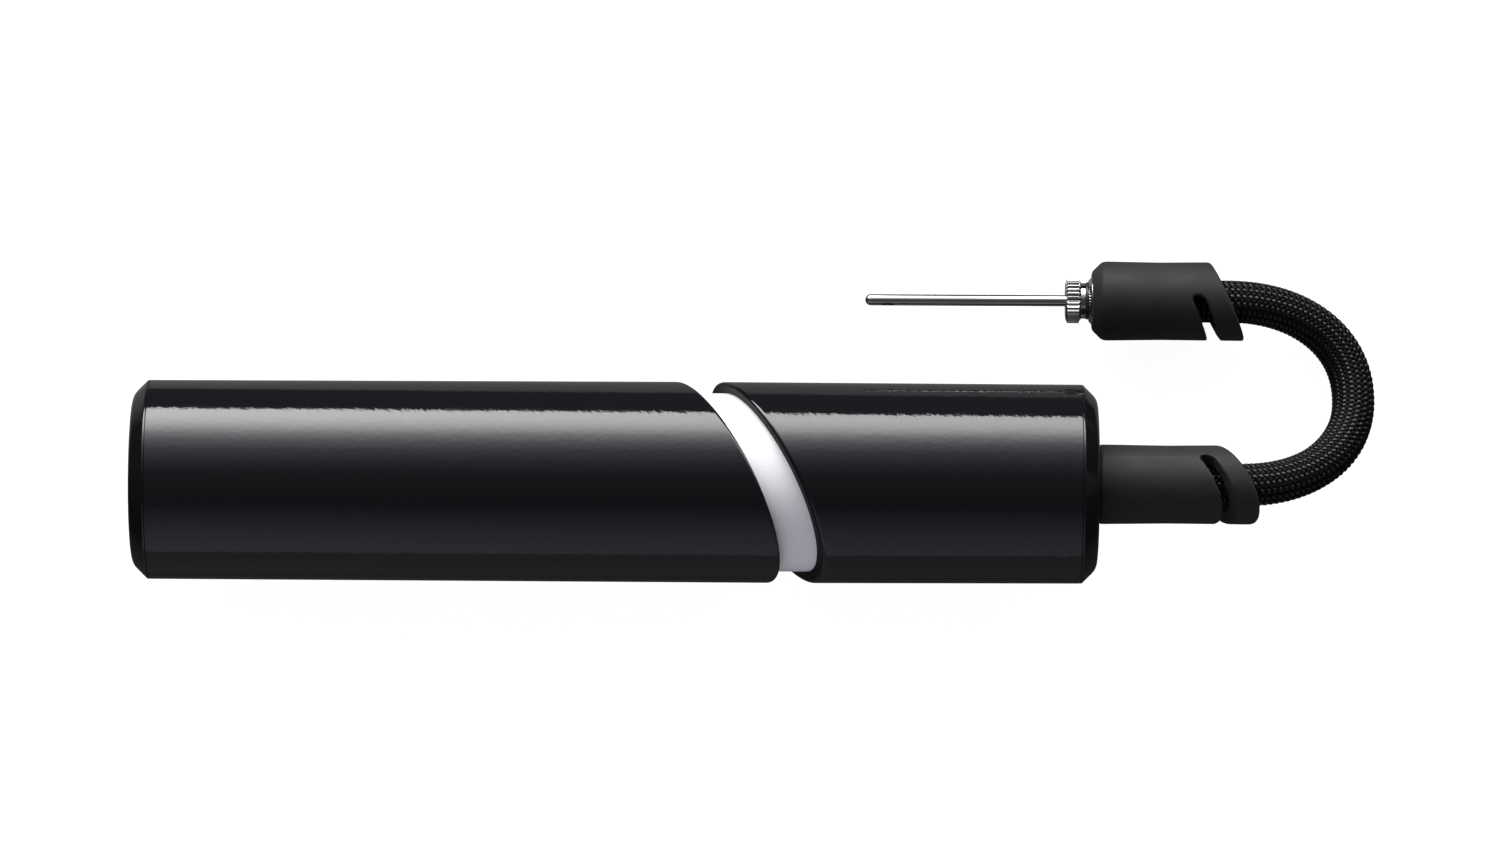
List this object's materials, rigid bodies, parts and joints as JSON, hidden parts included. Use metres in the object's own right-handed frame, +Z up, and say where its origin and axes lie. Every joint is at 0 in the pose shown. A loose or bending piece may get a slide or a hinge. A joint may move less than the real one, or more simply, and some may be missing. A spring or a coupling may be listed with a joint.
{
  "type": "ball inflation pump",
  "caption": "Hand pump with a long sliding handle sleeve over a white barrel, a short braided hose and a screw-in ball needle, lying on its side.",
  "frame": {"origin": "on the surface that the pump lies on, under the middle of the closed pump's body, hose and what is on it left out", "axes": "+X along the pump's axis towards the hose end, +Y towards the side where the hose lies, +Z up"},
  "size_m": [0.2184, 0.0569, 0.0352],
  "materials": {
    "shell_black": "high gloss moulded ABS",
    "barrel_white": "smooth satin gloss",
    "inner_plastic": "plain moulded nylon",
    "boot_rubber": "matte moulded rubber",
    "seal_rubber": "smooth greased nitrile",
    "hose_braid": "braided nylon yarn",
    "nickel": "bright nickel plate",
    "brass": "turned",
    "steel": "zinc plated"
  },
  "bodies": {
    "pump_body": {"body_shell": "shell_black", "body_end_cap": "shell_black", "barrel": "barrel_white", "rod_guide": "inner_plastic", "valve_head": "inner_plastic", "head_seal": "seal_rubber", "valve_spring": "steel", "valve_retainer": "brass"},
    "handle": {"handle_sleeve": "shell_black", "handle_end_cap": "shell_black", "piston_rod": "inner_plastic", "rod_screw": "steel", "stop_bumper": "seal_rubber", "piston": "inner_plastic", "piston_screw": "steel"},
    "ring": {"piston_ring": "seal_rubber"},
    "ball": {"valve_ball": "steel"},
    "hose_seal": {"hose_washer": "seal_rubber"},
    "hose_line": {"hose_fitting": "brass", "pump_ferrule": "steel", "pump_boot": "boot_rubber", "hose": "hose_braid", "chuck_boot": "boot_rubber", "chuck_ferrule": "steel", "chuck_socket": "nickel"},
    "needle_seal": {"needle_washer": "seal_rubber"},
    "needle": {"needle_collar": "nickel", "needle_tube": "nickel"}
  },
  "joints": [
    {"name": "handle_stroke", "type": "slide", "parent": "pump_body", "child": "handle", "axis": [-1, 0, 0], "range_m": [0, 0.075]},
    {"name": "ring_float", "type": "slide", "parent": "handle", "child": "ring", "axis": [1, 0, 0], "range_m": [0, 0.0008]},
    {"name": "valve_lift", "type": "slide", "parent": "pump_body", "child": "ball", "axis": [1, 0, 0], "range_m": [0, 0.0012], "stiffness_N_per_m": 150, "springref_m": -0.001, "deforming": ["valve_spring"]},
    {"name": "hose_travel", "type": "slide", "parent": "pump_body", "child": "hose_seal", "axis": [1, 0, 0], "range_m": [0, 0.008]},
    {"name": "hose_unscrew", "type": "hinge", "parent": "hose_seal", "child": "hose_line", "pos_m": [0.0845, 0, 0.0176], "axis": [1, 0, 0], "range_deg": [0, 2880]},
    {"name": "needle_travel", "type": "slide", "parent": "hose_line", "child": "needle_seal", "axis": [-1, 0, 0], "range_m": [0, 0.006]},
    {"name": "needle_unscrew", "type": "hinge", "parent": "needle_seal", "child": "needle", "pos_m": [0.08, 0.0323, 0.00705], "axis": [-1, 0, 0], "range_deg": [0, 2160]}
  ],
  "couplings": [
    {"joint": "hose_travel", "follows": "hose_unscrew", "m_per_rad": 0.00015915},
    {"joint": "needle_unscrew", "follows": "needle_travel", "rad_per_m": 6283.2}
  ]
}
